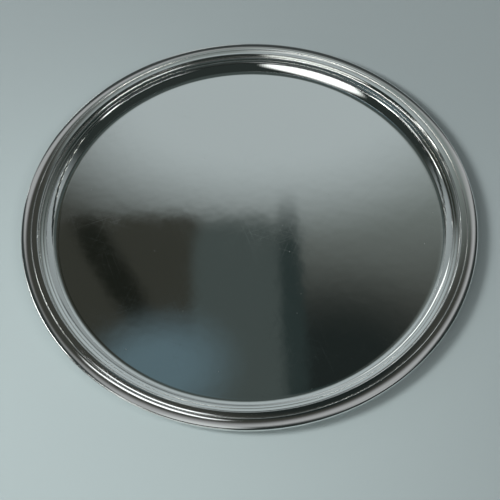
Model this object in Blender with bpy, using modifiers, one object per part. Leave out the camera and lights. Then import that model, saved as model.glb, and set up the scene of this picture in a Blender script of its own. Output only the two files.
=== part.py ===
"""Round cocktail tray of polished metal with a stepped, reeded border.

Three pieces share the axis Z: a pressed dish, a thin shaped border whose hem is folded under the edge of the dish, and a
round wire that stiffens the rolled outer edge. The dish stands on z = 0. Units are metres and degrees.

Each sheet is drawn at +X as its skin, the side that shows: a list of points (radius, height), each with the angle of its
outward normal, where 0 faces away from the axis, 90 up and 180 towards the axis. The other side lies one thickness behind
the skin, and a Screw modifier turns the closed profile.
"""

import math
from collections import namedtuple

import bpy

# Overall
TRAY_RADIUS = 0.1750
CLEARANCE = 0.0003
TURNED_STEPS = 64

# Dish, from the flat of the well outwards
DISH_SHEET = 0.0010
SWEEP_WIDTH = 0.0064
SWEEP_SLOPE = 8.0
FOOT_RADIUS = 0.0012
WALL_SLOPE = 55.0
WALL_LENGTH = 0.0056
SHOULDER_RADIUS = 0.0010

# Border, from the widest radius to the lip
BORDER_SHEET = 0.0008
EDGE_HEIGHT = 0.0007
NOSE_RADIUS = 0.0014
WIDE_REED_WIDTH = 0.0068
WIDE_REED_SLOPES = (12.0, 1.0)
GROOVE_RADIUS = 0.0006
GROOVE_SLOPE = 45.0
STEP_WIDTH = 0.0037
STEP_SLOPES = (3.0, 0.7)
STEP_NOSE_RADIUS = 0.0008
RISER_LEAN = 8.0
RISER_HEIGHT = 0.0027
SMALL_REEDS = 2
SMALL_REED_WIDTH = 0.0023
SMALL_REED_FALL = 0.00028
SMALL_REED_BULGE = 5.0
LIP_HEIGHT = 0.0009
LIP_OVERHANG = 0.0003

# Fold under the rim
CURL_RADIUS = 0.0019
HEM_SLOPE = 22.3
HEM_LENGTH = 0.0040
WIRE_RADIUS = 0.00095

# Faces along each arc
SWEEP_FACES = 4
BEND_FACES = 4
REED_FACES = 3
WIRE_FACES = 10
SHORTEST_FACE = 0.0002
SHARPEST_SMOOTH = 35.0

SILVER = {"colour": (0.80, 0.81, 0.81, 1.0), "roughness": 0.04}
STEEL = {"colour": (0.45, 0.45, 0.46, 1.0), "roughness": 0.35}

Layout = namedtuple("Layout", "over under rising hem_top")


def moved(point, angle, distance):
    """The point that lies a distance away, in the direction of an angle."""
    turn = math.radians(angle)
    return point[0] + distance * math.cos(turn), point[1] + distance * math.sin(turn)


def ridge(start, radius, first, last, faces):
    """An arc of skin from start that bulges outwards, while its normal turns from first to last."""
    centre = moved(start, first + 180, radius)
    angles = [first + (last - first) * step / faces for step in range(faces + 1)]
    return [(moved(centre, angle, radius), angle) for angle in angles]


def hollow(start, radius, first, last, faces):
    """The same for an arc that curves inwards, round a centre in front of the skin."""
    centre = moved(start, first, radius)
    angles = [first + (last - first) * step / faces for step in range(faces + 1)]
    return [(moved(centre, angle + 180, radius), angle) for angle in angles]


def spanning(width, first, last):
    """The radius of the arc that spans a width while its normal turns from first to last."""
    return width / (math.cos(math.radians(first)) - math.cos(math.radians(last)))


def straight(start, normal, travel, distance):
    """A flat stretch of skin from start."""
    return [(start, normal), (moved(start, travel, distance), normal)]


def end(skin):
    return skin[-1][0]


def shifted(skin, outwards, up):
    return [((point[0] + outwards, point[1] + up), normal) for point, normal in skin]


def sheet_outline(skin, thickness):
    """The skin's points, then those one thickness behind it in reverse.

    Points that crowd together are left out, and so are those behind a fold that is too tight for the sheet."""
    front = [point for point, _ in skin]
    behind = [moved(point, normal + 180, thickness) for point, normal in reversed(skin)]
    behind = [point for point in behind if min(math.dist(point, seen) for seen in front) > 0.98 * thickness]
    outline = []
    for point in front + behind:
        if not outline or math.dist(point, outline[-1]) > SHORTEST_FACE:
            outline.append(point)
    return outline


def small_reed(start):
    """One narrow reed, with an edge that rounds into the groove on each side of its crown."""
    chord = math.hypot(SMALL_REED_WIDTH, SMALL_REED_FALL)
    facing = 90 + math.degrees(math.atan2(SMALL_REED_FALL, SMALL_REED_WIDTH))
    rise, fall = math.sin(math.radians(SMALL_REED_BULGE)), math.sin(math.radians(GROOVE_SLOPE))
    crown_radius = (chord / 2 - GROOVE_RADIUS * (fall - rise)) / rise
    skin = ridge(start, GROOVE_RADIUS, facing - GROOVE_SLOPE, facing - SMALL_REED_BULGE, 1)
    skin += ridge(end(skin), crown_radius, facing - SMALL_REED_BULGE, facing + SMALL_REED_BULGE, REED_FACES)
    return skin + ridge(end(skin), GROOVE_RADIUS, facing + SMALL_REED_BULGE, facing + GROOVE_SLOPE, 1)


def reeds():
    """The skin of the border from the widest radius to the lip, with the widest point at (0, 0)."""
    wide_outer, wide_inner = [90 - slope for slope in WIDE_REED_SLOPES]
    step_outer, step_inner = [90 - slope for slope in STEP_SLOPES]
    riser = 180 - RISER_LEAN
    skin = ridge((0.0, 0.0), NOSE_RADIUS, 0, wide_outer, BEND_FACES)
    skin += ridge(end(skin), spanning(WIDE_REED_WIDTH, wide_outer, wide_inner), wide_outer, wide_inner, REED_FACES)
    skin += ridge(end(skin), GROOVE_RADIUS, wide_inner, 90 + GROOVE_SLOPE, 1)
    skin += ridge(end(skin), GROOVE_RADIUS, 90 - GROOVE_SLOPE, step_outer, 1)
    skin += ridge(end(skin), spanning(STEP_WIDTH, step_outer, step_inner), step_outer, step_inner, REED_FACES)
    skin += ridge(end(skin), STEP_NOSE_RADIUS, step_inner, riser, REED_FACES)
    skin += straight(end(skin), riser, riser + 90, RISER_HEIGHT / math.cos(math.radians(RISER_LEAN)))
    for _ in range(SMALL_REEDS):
        skin += small_reed(end(skin))
    return skin


def fold():
    """The skin of the border from the widest radius down, round the wire and along the hem, from (0, 0) again."""
    skin = straight((0.0, 0.0), 0, -90, EDGE_HEIGHT)
    skin += ridge(end(skin), CURL_RADIUS, 0, HEM_SLOPE - 90, BEND_FACES)
    return skin + straight(end(skin), HEM_SLOPE - 90, HEM_SLOPE + 180, HEM_LENGTH)


def wall():
    """The skin of the dish from the edge of its flat well, at (0, 0), to the start of the flange."""
    sweep, upright = 90 + SWEEP_SLOPE, 90 + WALL_SLOPE
    skin = hollow((0.0, 0.0), spanning(SWEEP_WIDTH, 90, sweep), 90, sweep, SWEEP_FACES)
    skin += hollow(end(skin), FOOT_RADIUS, sweep, upright, BEND_FACES)
    skin += straight(end(skin), upright, upright - 90, WALL_LENGTH)
    return skin + ridge(end(skin), SHOULDER_RADIUS, upright, 90, BEND_FACES)


def layout():
    """The skins over and under the rim and up the dish's wall, in place, and the inner top edge of the hem."""
    over, under, rising = reeds(), fold(), wall()
    lip = end(over)
    well_radius = TRAY_RADIUS + lip[0] + LIP_OVERHANG - end(rising)[0]
    rising = shifted(rising, well_radius, DISH_SHEET)
    edge_height = end(rising)[1] + CLEARANCE + LIP_HEIGHT - lip[1]
    under = shifted(under, TRAY_RADIUS, edge_height)
    hem_top = moved(end(under), HEM_SLOPE + 90, BORDER_SHEET)
    return Layout(shifted(over, TRAY_RADIUS, edge_height), under, rising, hem_top)


def height_on_slope(point, radius):
    """The height at a radius of the line through a point that climbs outwards as the hem does."""
    return point[1] + (radius - point[0]) * math.tan(math.radians(HEM_SLOPE))


def dish_outline():
    """The well, the wall, and a flange that turns up to lie along the hem."""
    placed = layout()
    flange_line = moved(placed.hem_top, HEM_SLOPE + 90, CLEARANCE + DISH_SHEET)
    flat_height = end(placed.rising)[1]
    turn_radius = flange_line[0] + (flat_height - flange_line[1]) / math.tan(math.radians(HEM_SLOPE))
    edge_radius = wire_centre()[0] - WIRE_RADIUS - CLEARANCE
    skin = [((0.0, DISH_SHEET), 90)] + placed.rising + [((turn_radius, flat_height), 90)]
    skin += [((turn_radius, flat_height), 90 + HEM_SLOPE)]
    skin += [((edge_radius, height_on_slope(flange_line, edge_radius)), 90 + HEM_SLOPE)]
    return sheet_outline(skin, DISH_SHEET)


def border_outline():
    """One closed sheet from the lip over the reeds and round the wire to the end of the hem."""
    placed = layout()
    lip = end(placed.over)
    outline = sheet_outline(list(reversed(placed.over)) + placed.under, BORDER_SHEET)
    return outline[:-1] + [(lip[0], lip[1] - LIP_HEIGHT)]


def wire_centre():
    """The wire lies against the rolled edge and on the hem."""
    radius = TRAY_RADIUS - BORDER_SHEET - CLEARANCE - WIRE_RADIUS
    above_hem = (CLEARANCE + WIRE_RADIUS) / math.cos(math.radians(HEM_SLOPE))
    return radius, height_on_slope(layout().hem_top, radius) + above_hem


def wire_outline():
    middle = wire_centre()
    return [moved(middle, -360 * step / WIRE_FACES, WIRE_RADIUS) for step in range(WIRE_FACES)]


def material(name, colour, roughness):
    made = bpy.data.materials.new(name)
    made.use_nodes = True
    shader = made.node_tree.nodes["Principled BSDF"]
    shader.inputs["Base Color"].default_value = colour
    shader.inputs["Metallic"].default_value = 1.0
    shader.inputs["Roughness"].default_value = roughness
    return made


def turned(name, outline, closed, finish, collection):
    """An object turned about Z from an outline that runs down its outer side."""
    count = len(outline)
    edges = [(i, (i + 1) % count) for i in range(count if closed else count - 1)]
    mesh = bpy.data.meshes.new(name)
    mesh.from_pydata([(radius, 0.0, height) for radius, height in outline], edges, [])
    mesh.materials.append(finish)
    made = bpy.data.objects.new(name, mesh)
    collection.objects.link(made)
    screw = made.modifiers.new("Turn", "SCREW")
    screw.axis = "Z"
    screw.steps = TURNED_STEPS
    screw.render_steps = TURNED_STEPS
    screw.use_merge_vertices = True
    screw.merge_threshold = 0.00001
    screw.use_smooth_shade = True
    evaluated = made.evaluated_get(bpy.context.evaluated_depsgraph_get())
    made.data = bpy.data.meshes.new_from_object(evaluated)
    made.data.name = name
    made.modifiers.remove(screw)
    made.data.set_sharp_from_angle(angle=math.radians(SHARPEST_SMOOTH))
    return made


def main():
    for old in list(bpy.data.objects):
        bpy.data.objects.remove(old, do_unlink=True)
    tray = bpy.data.collections.new("cocktail_tray")
    bpy.context.scene.collection.children.link(tray)
    silver = material("polished_silver", **SILVER)
    steel = material("wire_steel", **STEEL)
    turned("dish", dish_outline(), False, silver, tray)
    turned("reeded_border", border_outline(), True, silver, tray)
    turned("edge_wire", wire_outline(), True, steel, tray)


main()
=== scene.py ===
"""Round cocktail tray of mirror-polished metal with a stepped, reeded border, dressed round its CAD frame.

The three pieces are turned about Z as the CAD solids are, with finer roundings and far more faces, so that
the polished skins mirror their surroundings smoothly. Units are metres and radians, apart from the degrees
that the default angles and the patches are written in.
"""

import math
from collections import namedtuple

import bmesh
import bpy
from mathutils import Matrix, Vector


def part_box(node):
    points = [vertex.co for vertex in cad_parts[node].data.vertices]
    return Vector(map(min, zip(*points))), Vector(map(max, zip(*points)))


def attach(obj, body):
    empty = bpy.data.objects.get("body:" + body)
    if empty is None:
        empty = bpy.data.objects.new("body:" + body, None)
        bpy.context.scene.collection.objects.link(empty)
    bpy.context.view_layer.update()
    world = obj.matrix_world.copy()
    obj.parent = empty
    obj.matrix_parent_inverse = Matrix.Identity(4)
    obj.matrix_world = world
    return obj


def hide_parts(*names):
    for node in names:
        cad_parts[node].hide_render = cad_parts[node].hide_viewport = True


bl_info = {
    "name": "Cocktail Tray",
    "version": (1, 0, 0),
    "blender": (4, 5, 0),
    "location": "3D View > Sidebar > Tray",
    "description": "Builds a round polished tray with a stepped, reeded border",
    "category": "Add Mesh",
}

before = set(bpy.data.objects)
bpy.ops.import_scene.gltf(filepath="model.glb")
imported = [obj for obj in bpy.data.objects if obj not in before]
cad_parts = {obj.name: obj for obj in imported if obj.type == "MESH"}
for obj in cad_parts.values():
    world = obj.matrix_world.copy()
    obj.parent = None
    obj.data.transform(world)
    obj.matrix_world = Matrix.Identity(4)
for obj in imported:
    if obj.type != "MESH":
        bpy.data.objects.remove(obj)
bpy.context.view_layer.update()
_, rim_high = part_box("reeded_border")

BODY = "root"
UP = math.pi / 2


def length(name, description, default):
    return bpy.props.FloatProperty(
        name=name, description=description, default=default, unit="LENGTH", precision=5)


def angle(name, description, degrees):
    return bpy.props.FloatProperty(
        name=name, description=description, default=math.radians(degrees), subtype="ANGLE")


def colour(name, description, default):
    return bpy.props.FloatVectorProperty(
        name=name, description=description, default=default, subtype="COLOR", size=3, min=0.0, max=1.0)


def share(name, description, default):
    return bpy.props.FloatProperty(name=name, description=description, default=default, min=0.0, max=1.0)


def count(name, description, default):
    return bpy.props.IntProperty(name=name, description=description, default=default, min=1)


# Sizes and colours that a user would change

class TraySizes(bpy.types.PropertyGroup):
    tray_radius: length("Tray Radius", "Middle of the tray to its widest point", rim_high.x)
    clearance: length("Clearance", "Space between two pieces that are pressed together", 0.0003)
    steps_round: count("Steps Round", "Faces round the axis", 480)

    dish_sheet: length("Dish Sheet", "Thickness of the dish", 0.0010)
    sweep_width: length("Sweep Width", "Width of the gentle rise at the edge of the well", 0.0046)
    sweep_slope: angle("Sweep Slope", "Slope in which that rise ends", 9)
    foot_radius: length("Foot Radius", "Bend from there to the wall", 0.0003)
    wall_slope: angle("Wall Slope", "Slope of the wall", 55)
    wall_length: length("Wall Length", "Length of the wall", 0.00637)
    wall_hollow: angle("Wall Hollow", "Turn of the wall on each side of its middle", 4.5)
    shoulder_radius: length("Shoulder Radius", "Bend from the wall to the flange", 0.0003)

    border_sheet: length("Border Sheet", "Thickness of the border", 0.0008)
    edge_height: length("Edge Height", "Upright stretch at the widest point", 0.0007)
    nose_radius: length("Nose Radius", "Bend above the widest point", 0.0014)
    wide_reed_width: length("Wide Reed Width", "Width of the outer reed's crown", 0.0068)
    wide_outer_slope: angle("Wide Reed Outer Slope", "Fall towards the edge on its outer side", 12)
    wide_inner_slope: angle("Wide Reed Inner Slope", "Fall towards the edge on its inner side", 1)
    groove_radius: length("Groove Radius", "Rounding of a reed into the groove beside it", 0.0006)
    groove_slope: angle("Groove Slope", "Slope of a groove's sides", 45)
    step_width: length("Step Width", "Width of the step's crown", 0.0037)
    step_outer_slope: angle("Step Outer Slope", "Fall towards the edge on its outer side", 3)
    step_inner_slope: angle("Step Inner Slope", "Fall towards the edge on its inner side", 0.7)
    step_nose_radius: length("Step Nose Radius", "Bend from the step to its riser", 0.0008)
    riser_lean: angle("Riser Lean", "How far the riser leans from upright", 8)
    riser_height: length("Riser Height", "Height of the riser", 0.0020)
    riser_foot_radius: length("Riser Foot Radius", "Rounding between the riser and the narrow reeds", 0.0007)
    small_reeds: count("Small Reeds", "Narrow reeds between riser and lip", 2)
    small_reed_width: length("Small Reed Width", "Width of a narrow reed", 0.0023)
    small_reed_fall: length("Small Reed Fall", "How far a narrow reed falls towards the well", 0.00035)
    small_reed_bulge: angle("Small Reed Bulge", "Turn of a narrow reed on each side of its crown", 3)
    fine_edge_radius: length("Fine Edge Radius", "Rounding of a narrow reed into its crease", 0.0002)
    crease_radius: length("Crease Radius", "Rounding in the bottom of a crease", 0.00006)
    lip_radius: length("Lip Radius", "Rounding of the last reed down to the lip", 0.0009)
    lip_height: length("Lip Height", "Height of the border's inner edge", 0.0009)
    lip_overhang: length("Lip Overhang", "How far that edge stands out over the wall", 0.0003)

    curl_radius: length("Curl Radius", "Bend of the border round the wire", 0.0019)
    hem_slope: angle("Hem Slope", "Slope of the hem under the rim", 22.3)
    hem_length: length("Hem Length", "Length of the hem under the rim", 0.0040)
    wire_radius: length("Wire Radius", "Radius of the wire in the rolled edge", 0.00095)

    unevenness: length("Unevenness", "Height of the long, faint ripples that pressing leaves", 0.00002)
    ripple_length: length("Ripple Length", "Distance between those ripples", 0.055)


class TrayFinish(bpy.types.PropertyGroup):
    silver: colour("Silver", "Polished silver", (0.84, 0.85, 0.84))
    tarnish: colour("Tarnish", "Warm film that stays in the creases", (0.60, 0.54, 0.43))
    polish: share("Polish", "Roughness of the clean metal", 0.035)
    wiping: share("Wiping", "Strength of the fine marks that wiping leaves", 0.4)
    specks: share("Specks", "Strength of the small dull specks", 0.6)
    dish_waviness: share("Dish Waviness", "How far the dish's polish is from flat", 0.012)
    border_waviness: share("Border Waviness", "The same for the border", 0.002)
    steel: colour("Steel", "Plain drawn wire", (0.45, 0.45, 0.46))


class TrayStage(bpy.types.PropertyGroup):
    # The floor's colour holds a painted pool of light round the brightest point, with painted shade away from
    # it.
    floor: colour("Floor", "Pale floor where it is brightest", (0.415, 0.485, 0.489))
    floor_in_painted_shade: colour("Floor Away", "The same floor far from there", (0.315, 0.362, 0.370))
    brightest: bpy.props.FloatVectorProperty(
        name="Brightest", description="Where the floor is brightest", default=(-0.10, -0.15), size=2,
        subtype="XYZ", unit="LENGTH")
    horizon: colour("Horizon", "Pale surroundings just above the floor", (0.34, 0.38, 0.39))
    walls: colour("Walls", "Dim surroundings above that", (0.045, 0.053, 0.052))
    ceiling: colour("Ceiling", "Plain surroundings overhead", (0.39, 0.40, 0.405))
    camera_distance: length("Camera Distance", "Camera to the middle of the rim", 0.84648)
    camera_height: angle("Camera Height", "Angle of the camera above the floor", 57.13)
    camera_pitch: angle("Camera Pitch", "How far the view is turned from the middle of the rim", -1.73)
    camera_roll: angle("Camera Roll", "Tilt of the picture", 2.29)
    lens: bpy.props.FloatProperty(
        name="Lens", description="Focal length on a 36 mm sensor, in mm", default=79.2)


# The section of each sheet, drawn at +X

FEWEST_FACES = 3            # on any arc
FACES_PER_RADIAN = 7        # on a tight arc
FACES_PER_METRE = 1400      # more of them for each metre of an arc's radius, per radian
FLAT_FACES = 4              # along the riser and the hem
WELL_RINGS = 30
WIRE_FACES = 24
SHORTEST = 0.00002          # between two points of the side that shows
SHORTEST_BEHIND = 0.0003    # between two points of the side that doesn't
SEAM_DISTANCE = 0.000004    # under which the turned sheet's points become one
SHARPEST_SMOOTH = math.radians(30)
NOT_FOLDED = 0.98           # the share of the sheet's thickness that its other side keeps away from the skin


def moved(point, direction, distance):
    """The point that lies a distance away in a direction."""
    return point[0] + distance * math.cos(direction), point[1] + distance * math.sin(direction)


def arc(start, radius, first, last, hollow=False):
    """Skin from start whose normal turns from first to last, as a ridge or as a hollow."""
    to_centre, from_centre = (0.0, math.pi) if hollow else (math.pi, 0.0)
    centre = moved(start, first + to_centre, radius)
    faces = max(FEWEST_FACES, round(abs(last - first) * (FACES_PER_RADIAN + FACES_PER_METRE * radius)))
    angles = [first + (last - first) * step / faces for step in range(faces + 1)]
    return [(moved(centre, turn + from_centre, radius), turn) for turn in angles]


def spanning(width, first, last):
    """The radius of the arc that spans a width while its normal turns from first to last."""
    return width / (math.cos(first) - math.cos(last))


def straight(start, normal, travel, distance, faces=1):
    """A flat stretch of skin that runs in the direction of travel."""
    return [(moved(start, travel, distance * step / faces), normal) for step in range(faces + 1)]


def end(skin):
    return skin[-1][0]


def shifted(skin, outwards, up):
    return [((point[0] + outwards, point[1] + up), normal) for point, normal in skin]


def sheet_outline(skin, thickness):
    """The skin's points, then those one thickness behind it in reverse, further apart.

    Points that crowd together are left out, and so are those behind a fold too tight for the sheet."""
    front = [point for point, _ in skin]
    behind = [moved(point, normal + math.pi, thickness) for point, normal in reversed(skin)]
    away = NOT_FOLDED * thickness
    behind = [point for point in behind if min(math.dist(point, seen) for seen in front) > away]
    outline = front[:1]
    for points, least in ((front, SHORTEST), (behind, SHORTEST_BEHIND)):
        for point in points:
            if math.dist(point, outline[-1]) > least:
                outline.append(point)
    return outline


class Section:
    """The skins of border and dish, built from the tray's sizes.

    A skin is a list of points, each with the direction of its outward normal: 0 faces away from the axis, UP
    faces up and pi towards the axis."""

    def __init__(self, sizes):
        self.sizes = sizes
        over, under, rising = self.reeds(), self.fold(), self.wall()
        lip = end(over)
        well_radius = sizes.tray_radius + lip[0] + sizes.lip_overhang - end(rising)[0]
        self.rising = shifted(rising, well_radius, sizes.dish_sheet)
        edge = end(self.rising)[1] + sizes.clearance + sizes.lip_height - lip[1]
        self.over = shifted(over, sizes.tray_radius, edge)
        self.under = shifted(under, sizes.tray_radius, edge)
        self.hem_top = moved(end(self.under), sizes.hem_slope + UP, sizes.border_sheet)
        self.edge_height = edge
        wire_radius = sizes.tray_radius - sizes.border_sheet - sizes.clearance - sizes.wire_radius
        above_hem = (sizes.clearance + sizes.wire_radius) / math.cos(sizes.hem_slope)
        self.wire_middle = wire_radius, self.on_slope(self.hem_top, wire_radius) + above_hem

    def on_slope(self, point, radius):
        """The height at a radius of the line through a point that climbs outwards as the hem does."""
        return point[1] + (radius - point[0]) * math.tan(self.sizes.hem_slope)

    def reeds(self):
        """The border's skin from its widest radius, at (0, 0), to the lip."""
        s = self.sizes
        wide_outer, wide_inner = UP - s.wide_outer_slope, UP - s.wide_inner_slope
        step_outer, step_inner = UP - s.step_outer_slope, UP - s.step_inner_slope
        into_groove, out_of_groove = UP + s.groove_slope, UP - s.groove_slope
        riser = math.pi - s.riser_lean
        skin = arc((0.0, 0.0), s.nose_radius, 0, wide_outer)
        skin += arc(end(skin), spanning(s.wide_reed_width, wide_outer, wide_inner), wide_outer, wide_inner)
        skin += arc(end(skin), s.groove_radius, wide_inner, into_groove)
        skin += arc(end(skin), s.crease_radius, into_groove, out_of_groove, hollow=True)
        skin += arc(end(skin), s.groove_radius, out_of_groove, step_outer)
        skin += arc(end(skin), spanning(s.step_width, step_outer, step_inner), step_outer, step_inner)
        skin += arc(end(skin), s.step_nose_radius, step_inner, riser)
        skin += straight(end(skin), riser, riser + UP, s.riser_height / math.cos(s.riser_lean), FLAT_FACES)
        for number in range(s.small_reeds):
            fillet = s.riser_foot_radius if number == 0 else s.crease_radius
            last_edge = s.lip_radius if number == s.small_reeds - 1 else s.fine_edge_radius
            skin += self.small_reed(end(skin), skin[-1][1], fillet, s.fine_edge_radius, last_edge)
        return skin

    def small_reed(self, start, turned_to, fillet, first_edge, last_edge):
        """One narrow reed after a fillet, with an edge on each side of its crown."""
        s = self.sizes
        chord = math.hypot(s.small_reed_width, s.small_reed_fall)
        facing = UP + math.atan2(s.small_reed_fall, s.small_reed_width)
        rise, fall = math.sin(s.small_reed_bulge), math.sin(s.groove_slope)
        crown_radius = (chord - (first_edge + last_edge) * (fall - rise)) / rise / 2
        first, last = facing - s.small_reed_bulge, facing + s.small_reed_bulge
        skin = arc(start, fillet, turned_to, facing - s.groove_slope, hollow=True)
        skin += arc(end(skin), first_edge, facing - s.groove_slope, first)
        skin += arc(end(skin), crown_radius, first, last)
        return skin + arc(end(skin), last_edge, last, facing + s.groove_slope)

    def fold(self):
        """The border's skin from its widest radius, at (0, 0), down round the wire and along the hem."""
        s = self.sizes
        skin = straight((0.0, 0.0), 0, -UP, s.edge_height)
        skin += arc(end(skin), s.curl_radius, 0, s.hem_slope - UP)
        return skin + straight(end(skin), s.hem_slope - UP, s.hem_slope + math.pi, s.hem_length, FLAT_FACES)

    def wall(self):
        """The dish's skin from the edge of the flat well, at (0, 0), to the start of the flange."""
        s = self.sizes
        sweep, upright = UP + s.sweep_slope, UP + s.wall_slope
        skin = arc((0.0, 0.0), spanning(s.sweep_width, UP, sweep), UP, sweep, hollow=True)
        foot, top = upright - s.wall_hollow, upright + s.wall_hollow
        skin += arc(end(skin), s.foot_radius, sweep, foot, hollow=True)
        skin += arc(end(skin), s.wall_length / 2 / math.sin(s.wall_hollow), foot, top, hollow=True)
        return skin + arc(end(skin), s.shoulder_radius, top, UP)

    def dish(self):
        """The well, the wall and a flange that turns up to lie along the hem."""
        s = self.sizes
        line = moved(self.hem_top, s.hem_slope + UP, s.clearance + s.dish_sheet)
        (well_radius, _), _ = self.rising[0]
        _, flange_height = end(self.rising)
        turn = line[0] + (flange_height - line[1]) / math.tan(s.hem_slope)
        edge = self.wire_middle[0] - s.wire_radius - s.clearance
        skin = [((well_radius * ring / WELL_RINGS, s.dish_sheet), UP) for ring in range(WELL_RINGS)]
        skin += self.rising
        skin += [((turn, flange_height), UP), ((turn, flange_height), UP + s.hem_slope)]
        skin += [((edge, self.on_slope(line, edge)), UP + s.hem_slope)]
        return sheet_outline(skin, s.dish_sheet)

    def border(self):
        """One closed sheet from the lip over the reeds and round the wire to the end of the hem."""
        s = self.sizes
        lip, _ = self.over[-1]
        outline = sheet_outline(list(reversed(self.over)) + self.under, s.border_sheet)
        outline = outline[:-1] + [(lip[0], lip[1] - s.lip_height)]
        return outline + outline[:1]

    def wire(self):
        return [moved(self.wire_middle, -math.tau * step / WIRE_FACES, self.sizes.wire_radius)
                for step in range(WIRE_FACES + 1)]

    def creases(self):
        """The radius of each crease of the border, where its skin turns back between two reeds."""
        clear_turn, apart = 0.02, 0.001
        turning_back = [point[0] for (point, normal), (_, following) in zip(self.over[:-1], self.over[1:])
                        if following < normal - clear_turn]
        return [radius for number, radius in enumerate(turning_back)
                if number == 0 or abs(radius - turning_back[number - 1]) > apart]


# Node trees

class Value:
    """A socket of a node tree. An expression on values adds its Math nodes to the tree."""

    def __init__(self, tree, socket):
        self.tree, self.socket = tree, socket

    def __add__(self, other):
        return self.tree.math("ADD", self, other)

    def __sub__(self, other):
        return self.tree.math("SUBTRACT", self, other)

    def __rsub__(self, other):
        return self.tree.math("SUBTRACT", other, self)

    def __mul__(self, other):
        return self.tree.math("MULTIPLY", self, other)

    def __truediv__(self, other):
        return self.tree.math("DIVIDE", self, other)

    def __rtruediv__(self, other):
        return self.tree.math("DIVIDE", other, self)

    def __pow__(self, other):
        return self.tree.math("POWER", self, other)

    __radd__ = __add__


class Wiring:
    """Adds nodes to one tree and links them."""

    def __init__(self, tree):
        self.tree = tree

    def add(self, kind, settings=None, inputs=None, output=0):
        """One output of a new node. The settings are made before the inputs are given."""
        node = self.tree.nodes.new(kind)
        for name, setting in (settings or {}).items():
            setattr(node, name, setting)
        for name, given in (inputs or {}).items():
            if isinstance(given, Value):
                self.tree.links.new(given.socket, node.inputs[name])
            else:
                node.inputs[name].default_value = given
        return Value(self, node.outputs[output]) if len(node.outputs) else node

    def math(self, operation, *given):
        return self.add("ShaderNodeMath", {"operation": operation}, dict(enumerate(given)))

    def vector(self, operation, *given, output=0):
        return self.add("ShaderNodeVectorMath", {"operation": operation}, dict(enumerate(given)), output)

    def split(self, place):
        """The x, y and z of a vector."""
        return [self.add("ShaderNodeSeparateXYZ", None, {0: place}, axis) for axis in "XYZ"]

    def noise(self, place, scale, **inputs):
        """Smooth noise between 0 and 1."""
        given = {"Vector": place, "Scale": scale} | {name.title(): value for name, value in inputs.items()}
        return self.add("ShaderNodeTexNoise", None, given)

    def rise(self, value, low, high, to_low=0.0, to_high=1.0):
        """A smooth step from one level to another while the value goes from low to high."""
        return self.add("ShaderNodeMapRange", {"interpolation_type": "SMOOTHSTEP"}, {
            "Value": value, "From Min": low, "From Max": high, "To Min": to_low, "To Max": to_high})

    def mix(self, factor, first, second):
        """A colour between two."""
        settings = {"data_type": "RGBA"}
        first, second = [given if isinstance(given, Value) else (*given, 1.0) for given in (first, second)]
        return self.add("ShaderNodeMix", settings, {"Factor": factor, 6: first, 7: second}, 2)


def turning_tree():
    """The tree that turns a section about Z. Its edges come in as the object's own geometry."""
    tree = bpy.data.node_groups.new("Turned Sheet", "GeometryNodeTree")
    inputs = {
        "Section": "Geometry", "Steps Round": "Int", "Unevenness": "Float", "Ripple Length": "Float",
        "Sharpest Smooth Angle": "Float", "Finish": "Material"}
    for name, kind in inputs.items():
        tree.interface.new_socket(name, in_out="INPUT", socket_type="NodeSocket" + kind)
    tree.interface.new_socket("Turned", in_out="OUTPUT", socket_type="NodeSocketGeometry")
    wiring = Wiring(tree)
    given = tree.nodes.new("NodeGroupInput")
    section, steps, unevenness, ripple, sharpest, finish = [
        Value(wiring, given.outputs[name]) for name in inputs]

    rows = steps + 1
    points = wiring.add(
        "GeometryNodeAttributeDomainSize", {"component": "MESH"}, {"Geometry": section}, "Point Count")
    grid = wiring.add("GeometryNodeMeshGrid", None, {
        "Size X": 1.0, "Size Y": 1.0, "Vertices X": points, "Vertices Y": rows}, "Mesh")
    index = wiring.add("GeometryNodeInputIndex")
    along = wiring.math("FLOOR", (index + 0.5) / rows)
    around = index - along * rows
    sampled = wiring.add("GeometryNodeSampleIndex", {"data_type": "FLOAT_VECTOR"}, {
        "Geometry": section, "Value": wiring.add("GeometryNodeInputPosition"), "Index": along})
    radius, _, height = wiring.split(sampled)
    turn = around * math.tau / steps
    place = wiring.add("ShaderNodeCombineXYZ", None, {
        "X": radius * wiring.math("COSINE", turn), "Y": radius * wiring.math("SINE", turn), "Z": height})
    ripples = wiring.noise(place, 1.0 / ripple, detail=1.0, roughness=0.4)
    lift = wiring.add("ShaderNodeCombineXYZ", None, {"Z": ripples * unevenness})
    sheet = wiring.add("GeometryNodeSetPosition", None, {"Geometry": grid, "Position": place, "Offset": lift})
    merged = wiring.add("GeometryNodeMergeByDistance", None, {"Geometry": sheet, "Distance": SEAM_DISTANCE})
    bend = wiring.add("GeometryNodeInputMeshEdgeAngle", None, None, "Unsigned Angle")
    smooth = wiring.add("GeometryNodeSetShadeSmooth", {"domain": "EDGE"}, {
        "Geometry": merged, "Shade Smooth": wiring.math("LESS_THAN", bend, sharpest)})
    realised = wiring.add("GeometryNodeRealizeInstances", None, {"Geometry": smooth})
    finished = wiring.add("GeometryNodeSetMaterial", None, {"Geometry": realised, "Material": finish})
    tree.links.new(finished.socket, tree.nodes.new("NodeGroupOutput").inputs[0])
    return tree


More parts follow.
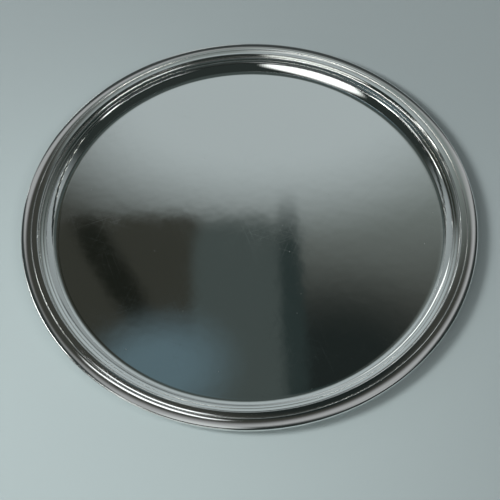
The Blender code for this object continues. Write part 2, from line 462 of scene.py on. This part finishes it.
def turned(name, outline, finish, sizes, unevenness):
    """A plain mesh object, turned about Z from an outline, with its faces outwards."""
    tree = bpy.data.node_groups.get("Turned Sheet") or turning_tree()
    edges = [(point, point + 1) for point in range(len(outline) - 1)]
    mesh = bpy.data.meshes.new(name)
    mesh.from_pydata([(radius, 0.0, height) for radius, height in outline], edges, [])
    made = bpy.data.objects.new(name, mesh)
    bpy.context.scene.collection.objects.link(made)
    modifier = made.modifiers.new("Turn", "NODES")
    modifier.node_group = tree
    settings = {
        "Steps Round": sizes.steps_round, "Unevenness": unevenness, "Ripple Length": sizes.ripple_length,
        "Sharpest Smooth Angle": SHARPEST_SMOOTH, "Finish": finish}
    for socket in tree.interface.items_tree:
        if socket.name in settings:
            modifier[socket.identifier] = settings[socket.name]
    made.update_tag()
    evaluated = made.evaluated_get(bpy.context.evaluated_depsgraph_get())
    made.data = bpy.data.meshes.new_from_object(evaluated)
    made.data.name = name
    made.modifiers.remove(modifier)
    outwards = bmesh.new()
    outwards.from_mesh(made.data)
    bmesh.ops.recalc_face_normals(outwards, faces=outwards.faces)
    outwards.to_mesh(made.data)
    outwards.free()
    return made


def fit(piece, node):
    """The piece stands for a CAD node and rides with the tray."""
    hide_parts(node)
    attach(piece, BODY)


# Materials

MARK_DIRECTIONS = (0.35, 1.15, 1.9, 2.75)
MARK_OFFSET = 0.37                   # from one direction's marks to the next, so that none repeat
MARK_LENGTH, MARK_WIDTH = 0.05, 0.0006
FILM_REACH = 0.00004, 0.00028        # from a crease: where the film starts to fade, and where it ends
SPECKS_PER_METRE = 260.0
SPECK_REACH = 0.05, 0.11             # the same for a speck, as shares of the space between specks


def new_material(name):
    made = bpy.data.materials.new(name)
    made.use_nodes = True
    made.node_tree.nodes.clear()
    return made, Wiring(made.node_tree)


def finish_material(wiring, shader):
    wiring.add("ShaderNodeOutputMaterial", None, {"Surface": shader})


def wiping_marks(wiring, place, turn, offset):
    """Long, thin, faint marks in one direction."""
    laid = wiring.add("ShaderNodeMapping", {"vector_type": "TEXTURE"}, {
        "Vector": place, "Location": (offset, offset * 0.7, 0.0), "Rotation": (0.0, 0.0, turn),
        "Scale": (MARK_LENGTH, MARK_WIDTH, 1.0)})
    return wiring.rise(wiring.noise(laid, 1.0, detail=1.0, distortion=0.9), 0.62, 0.74)


def crease_film(wiring, radius, creases):
    """1 in each crease and 0 beside it."""
    film = 0.0
    for crease in creases:
        beside = wiring.rise(wiring.math("ABSOLUTE", radius - crease), *FILM_REACH)
        film = wiring.math("MAXIMUM", 1 - beside, film)
    return film


def polished_silver(name, finish, creases, waviness):
    """Mirror-polished silver with wiping marks, smudges, specks and, at each crease's radius, a warm film.

    The roughness is the sum of what each of them adds to the clean metal's."""
    material, wiring = new_material(name)
    place = wiring.add("ShaderNodeTexCoord", None, None, "Object")
    marks = 0.0
    for number, turn in enumerate(MARK_DIRECTIONS):
        marks = wiping_marks(wiring, place, turn, MARK_OFFSET * number) + marks
    marks = marks * wiring.rise(wiring.noise(place, 22.0, detail=3.0), 0.30, 0.70) * finish.wiping
    smudges = wiring.rise(wiring.noise(place, 34.0, detail=5.0, roughness=0.6), 0.45, 0.8)
    dots = wiring.add("ShaderNodeTexVoronoi", {"feature": "F1"}, {
        "Vector": place, "Scale": SPECKS_PER_METRE}, "Distance")
    chosen = wiring.rise(wiring.noise(place, 130.0), 0.62, 0.68)
    specks = (1 - wiring.rise(dots, *SPECK_REACH)) * chosen * finish.specks
    shown, film = (*finish.silver, 1.0), 0.0
    if creases:
        x, y, _ = wiring.split(place)
        radius = wiring.math("SQRT", x * x + y * y)
        uneven = wiring.rise(wiring.noise(place, 60.0, detail=2.0), 0.3, 0.7)
        film = crease_film(wiring, radius, creases) * (0.35 + uneven * 0.65)
        shown = wiring.mix(film * 0.4, finish.silver, finish.tarnish)
    roughness = marks * 0.13 + smudges * 0.02 + specks * 0.5 + film * 0.08 + finish.polish
    height = wiring.noise(place, 90.0, detail=1.0) + marks * 0.2
    bump = wiring.add("ShaderNodeBump", None, {"Strength": waviness, "Distance": 0.001, "Height": height})
    shader = wiring.add("ShaderNodeBsdfPrincipled", None, {
        "Base Color": shown, "Metallic": 1.0, "Roughness": roughness, "Normal": bump})
    finish_material(wiring, shader)
    return material


def drawn_steel(finish):
    """Plain drawn wire, with fine lines along it."""
    material, wiring = new_material("drawn_steel")
    place = wiring.add("ShaderNodeTexCoord", None, None, "Object")
    x, y, z = wiring.split(place)
    radius = wiring.math("SQRT", x * x + y * y)
    across, along = 9000.0, 20.0
    drawn = wiring.add("ShaderNodeCombineXYZ", None, {"X": radius * across, "Y": z * across, "Z": x * along})
    lines = wiring.noise(drawn, 1.0, detail=2.0)
    bump = wiring.add("ShaderNodeBump", None, {"Strength": 0.2, "Distance": 0.0001, "Height": lines})
    shown = wiring.mix(lines, [c * 0.8 for c in finish.steel], finish.steel)
    shader = wiring.add("ShaderNodeBsdfPrincipled", None, {
        "Base Color": shown, "Metallic": 1.0, "Roughness": 0.3 + lines * 0.15, "Normal": bump})
    finish_material(wiring, shader)
    return material


def floor_with_painted_light(stage):
    """A pale floor with painted light and shade: its colour darkens softly away from the brightest point."""
    material, wiring = new_material("floor_with_painted_light")
    place = wiring.add("ShaderNodeTexCoord", None, None, "Object")
    away = wiring.vector("DISTANCE", place, (*stage.brightest, 0.0), output="Value")
    # painted pool of light: the floor's colour fades to painted shade away from the brightest point
    shown = wiring.mix(wiring.rise(away, *PAINTED_LIGHT_FADES), stage.floor, stage.floor_in_painted_shade)
    shader = wiring.add("ShaderNodeBsdfPrincipled", None, {"Base Color": shown, "Roughness": 0.65})
    finish_material(wiring, shader)
    return material


# Soft patches of the surroundings, which the polished metal shows

Patch = namedtuple("Patch", "centre half_size turn softness corners colour")

# On a plane at unit height, with ahead up
OVERHEAD = (
    Patch((0.20, -0.62), (1.10, 0.64), 0, 0.06, 4, (0.026, 0.032, 0.030)),    # dark behind, nearly to overhead
    Patch((1.137, 0.248), (0.62, 1.40), -24, 0.06, 4, (0.026, 0.032, 0.031)), # dark on the right
    Patch((-1.11, 0.26), (0.62, 1.40), 24, 0.06, 4, (0.036, 0.044, 0.043)),   # dark on the left
    Patch((-0.16, -0.05), (0.14, 0.12), 0, 0.30, 2, (0.600, 0.630, 0.630)),   # pale, just behind overhead
    Patch((-0.04, 0.60), (0.48, 0.45), 0, 0.18, 2, (0.046, 0.048, 0.042)),    # dark overhead, in a pale ring
    Patch((0.16, 0.94), (0.38, 0.33), 0, 0.40, 2, (0.205, 0.238, 0.228)),     # pale ahead on the right
    Patch((0.03, 0.82), (0.24, 0.155), 0, 0.42, 2, (0.420, 0.475, 0.485)),    # paler straight ahead
    Patch((0.15, 1.04), (0.12, 0.040), 0, 0.50, 3, (0.720, 0.760, 0.760)),    # bright strip on it
    Patch((0.08, 0.42), (0.12, 0.13), 0, 0.45, 2, (0.014, 0.019, 0.018)),     # near-black ahead on the right
    Patch((-0.13, 0.57), (0.085, 0.085), 0, 0.10, 6, (0.036, 0.038, 0.031)),  # brownish on the left
    Patch((-0.148, 0.59), (0.016, 0.07), 29, 0.35, 4, (0.011, 0.013, 0.010)), # dark streak across it
    Patch((-0.012, 0.53), (0.050, 0.115), 0, 0.16, 5, (0.058, 0.074, 0.071)), # dim in the middle
    Patch((0.042, 0.53), (0.012, 0.115), 0, 0.40, 4, (0.024, 0.036, 0.035)),  # dark streak beside it
    Patch((-0.098, 0.468), (0.062, 0.050), 15, 0.60, 2, (0.10, 0.155, 0.18)), # blue glow below them
    Patch((-0.155, 0.325), (0.115, 0.032), -28, 0.20, 5, (1.50, 1.56, 1.58)), # bright bar, left of the middle
    Patch((-1.10, -0.42), (0.95, 0.10), -31, 0.30, 4, (6.50, 6.70, 6.60)),    # very bright, behind left
    Patch((-1.60, 0.20), (0.65, 0.10), -57, 0.30, 4, (6.50, 6.70, 6.60)),     # and on along the left
    Patch((0.88, -0.60), (0.45, 0.09), 31, 0.30, 4, (6.50, 6.70, 6.60)),      # very bright, behind right
)
# By the angle from straight behind, left negative, and the height
AROUND = (
    Patch((-0.10, 0.26), (1.80, 0.44), 0, 0.12, 5, (0.024, 0.031, 0.029)),    # dark all round behind
    Patch((-0.59, 0.24), (0.42, 0.20), 0, 0.15, 2, (1.30, 1.36, 1.32)),       # bright behind, on the left
    Patch((-2.40, 0.42), (0.60, 0.035), 0, 0.40, 4, (1.90, 1.98, 1.98)),      # bright line ahead, on the left
)
WALLS_FROM = 0.40, 0.46              # the heights between which the pale horizon gives way to them
CEILING_FROM = 0.57, 0.63            # and those between which they give way to it
FLATTEST = 0.05                      # the least height for which the plane overhead is used

Lamp = namedtuple("Lamp", "name place size power")

LAMPS = (Lamp("key", (-0.95, -0.25, 1.05), 0.45, 14.8), Lamp("fill", (0.9, -1.0, 1.6), 1.4, 4.9))

FLOOR_REACH = 2.5
FLOOR_BELOW = 0.0002                 # the dish, so that the two faces don't meet
PAINTED_LIGHT_FADES = 0.05, 0.43           # painted light gives way to painted shade between these distances from where the floor is brightest


# Operators

class TRAY_OT_dish(bpy.types.Operator):
    """Turn the dish: flat well, hollow wall and the flange under the border"""
    bl_idname = "tray.dish"
    bl_label = "Dish"

    def execute(self, context):
        sizes, finish = context.scene.tray_sizes, context.scene.tray_finish
        silver = polished_silver("dish_silver", finish, [], finish.dish_waviness)
        piece = turned("polished_dish", Section(sizes).dish(), silver, sizes, sizes.unevenness)
        fit(piece, "dish")
        return {"FINISHED"}


class TRAY_OT_border(bpy.types.Operator):
    """Turn the border with its reeds, lip and hem"""
    bl_idname = "tray.border"
    bl_label = "Reeded Border"

    def execute(self, context):
        sizes, finish = context.scene.tray_sizes, context.scene.tray_finish
        section = Section(sizes)
        silver = polished_silver("border_silver", finish, section.creases(), finish.border_waviness)
        piece = turned("polished_border", section.border(), silver, sizes, 0.0)
        fit(piece, "reeded_border")
        return {"FINISHED"}


class TRAY_OT_wire(bpy.types.Operator):
    """Turn the wire in the rolled edge"""
    bl_idname = "tray.wire"
    bl_label = "Edge Wire"

    def execute(self, context):
        sizes = context.scene.tray_sizes
        steel = drawn_steel(context.scene.tray_finish)
        piece = turned("drawn_wire", Section(sizes).wire(), steel, sizes, 0.0)
        fit(piece, "edge_wire")
        return {"FINISHED"}


class TRAY_OT_stage(bpy.types.Operator):
    """Lay the floor, set the lamps and the surroundings, and place the camera"""
    bl_idname = "tray.stage"
    bl_label = "Stage"

    def execute(self, context):
        stage = context.scene.tray_stage
        self.lay_floor(context, stage)
        self.set_surroundings(context, stage)
        self.hang_lamps(context)
        self.place_camera(context, stage)
        context.scene.view_settings.view_transform = "Standard"
        return {"FINISHED"}

    def lay_floor(self, context, stage):
        mesh = bpy.data.meshes.new("floor")
        corners = ((-1, -1), (1, -1), (1, 1), (-1, 1))
        points = [(x * FLOOR_REACH, y * FLOOR_REACH, -FLOOR_BELOW) for x, y in corners]
        mesh.from_pydata(points, [], [(0, 1, 2, 3)])
        mesh.materials.append(floor_with_painted_light(stage))
        floor = bpy.data.objects.new("floor", mesh)
        context.scene.collection.objects.link(floor)

    def set_surroundings(self, context, stage):
        """A world of soft patches."""
        world = bpy.data.worlds.new("surroundings")
        world.use_nodes = True
        world.node_tree.nodes.clear()
        context.scene.world = world
        wiring = Wiring(world.node_tree)
        direction = wiring.add("ShaderNodeTexCoord", None, None, "Generated")
        x, y, z = wiring.split(direction)
        height = wiring.math("MAXIMUM", z, FLATTEST)
        overhead = wiring.add("ShaderNodeCombineXYZ", None, {"X": x / height, "Y": y / height})
        around = wiring.add("ShaderNodeCombineXYZ", None, {
            "X": wiring.math("ARCTAN2", x, 0.0 - y), "Y": wiring.math("ARCSINE", z)})
        walls = wiring.mix(wiring.rise(z, *WALLS_FROM), stage.horizon, stage.walls)
        seen = wiring.mix(wiring.rise(z, *CEILING_FROM), walls, stage.ceiling)
        for patch in AROUND:
            seen = self.lay(wiring, around, seen, patch)
        for patch in OVERHEAD:
            seen = self.lay(wiring, overhead, seen, patch)
        background = wiring.add("ShaderNodeBackground", None, {"Color": seen, "Strength": 1.0})
        wiring.add("ShaderNodeOutputWorld", None, {"Surface": background})

    @staticmethod
    def lay(wiring, place, seen, patch):
        """The colour so far with one patch over it, round where its corners are 2 and squarer with more."""
        laid = wiring.add("ShaderNodeMapping", {"vector_type": "TEXTURE"}, {
            "Vector": place, "Location": (*patch.centre, 0.0), "Scale": (*patch.half_size, 1.0),
            "Rotation": (0.0, 0.0, math.radians(patch.turn))})
        x, y, _ = [wiring.math("ABSOLUTE", axis) for axis in wiring.split(laid)]
        far = (x ** patch.corners + y ** patch.corners) ** (1.0 / patch.corners)
        inside = wiring.rise(far, 1.0 - patch.softness, 1.0 + patch.softness, 1.0, 0.0)
        return wiring.mix(inside, seen, patch.colour)

    def hang_lamps(self, context):
        """Two round lamps that face the tray and don't show in the polish."""
        for lamp in LAMPS:
            light = bpy.data.lights.new(lamp.name, "AREA")
            light.shape, light.size, light.energy = "DISK", lamp.size, lamp.power
            hung = bpy.data.objects.new(lamp.name, light)
            hung.location = lamp.place
            hung.rotation_euler = (-Vector(lamp.place)).to_track_quat("-Z", "Y").to_euler()
            hung.visible_glossy = False
            context.scene.collection.objects.link(hung)

    def place_camera(self, context, stage):
        """A camera that looks at the middle of the rim, before its pitch and roll."""
        rise = stage.camera_height
        middle = Vector((0.0, 0.0, Section(context.scene.tray_sizes).edge_height))
        backwards = Vector((0.0, -math.cos(rise), math.sin(rise)))
        right = Vector((1.0, 0.0, 0.0))
        up = right.cross(-backwards)
        pitch = Matrix.Rotation(stage.camera_pitch, 3, right)
        turn = pitch @ Matrix.Rotation(stage.camera_roll, 3, -backwards)
        axes = Matrix([turn @ right, turn @ up, turn @ backwards]).transposed()
        camera = bpy.data.cameras.new("camera")
        camera.lens, camera.sensor_width, camera.clip_start = stage.lens, 36.0, 0.01
        placed = bpy.data.objects.new("camera", camera)
        placed.matrix_world = Matrix.Translation(middle + backwards * stage.camera_distance) @ axes.to_4x4()
        context.scene.collection.objects.link(placed)
        context.scene.camera = placed


class TRAY_PT_panel(bpy.types.Panel):
    bl_idname = "TRAY_PT_panel"
    bl_label = "Cocktail Tray"
    bl_space_type = "VIEW_3D"
    bl_region_type = "UI"
    bl_category = "Tray"

    def draw(self, context):
        for operator in OPERATORS:
            self.layout.operator(operator.bl_idname)


GROUPS = {"tray_sizes": TraySizes, "tray_finish": TrayFinish, "tray_stage": TrayStage}
OPERATORS = (TRAY_OT_dish, TRAY_OT_border, TRAY_OT_wire, TRAY_OT_stage)


def register():
    for kind in (*GROUPS.values(), *OPERATORS, TRAY_PT_panel):
        bpy.utils.register_class(kind)
    for name, group in GROUPS.items():
        setattr(bpy.types.Scene, name, bpy.props.PointerProperty(type=group))


def unregister():
    for name in GROUPS:
        delattr(bpy.types.Scene, name)
    for kind in reversed((*GROUPS.values(), *OPERATORS, TRAY_PT_panel)):
        bpy.utils.unregister_class(kind)


def main():
    register()
    bpy.ops.tray.dish()
    bpy.ops.tray.border()
    bpy.ops.tray.wire()
    bpy.ops.tray.stage()


if __name__ == "__main__":
    main()
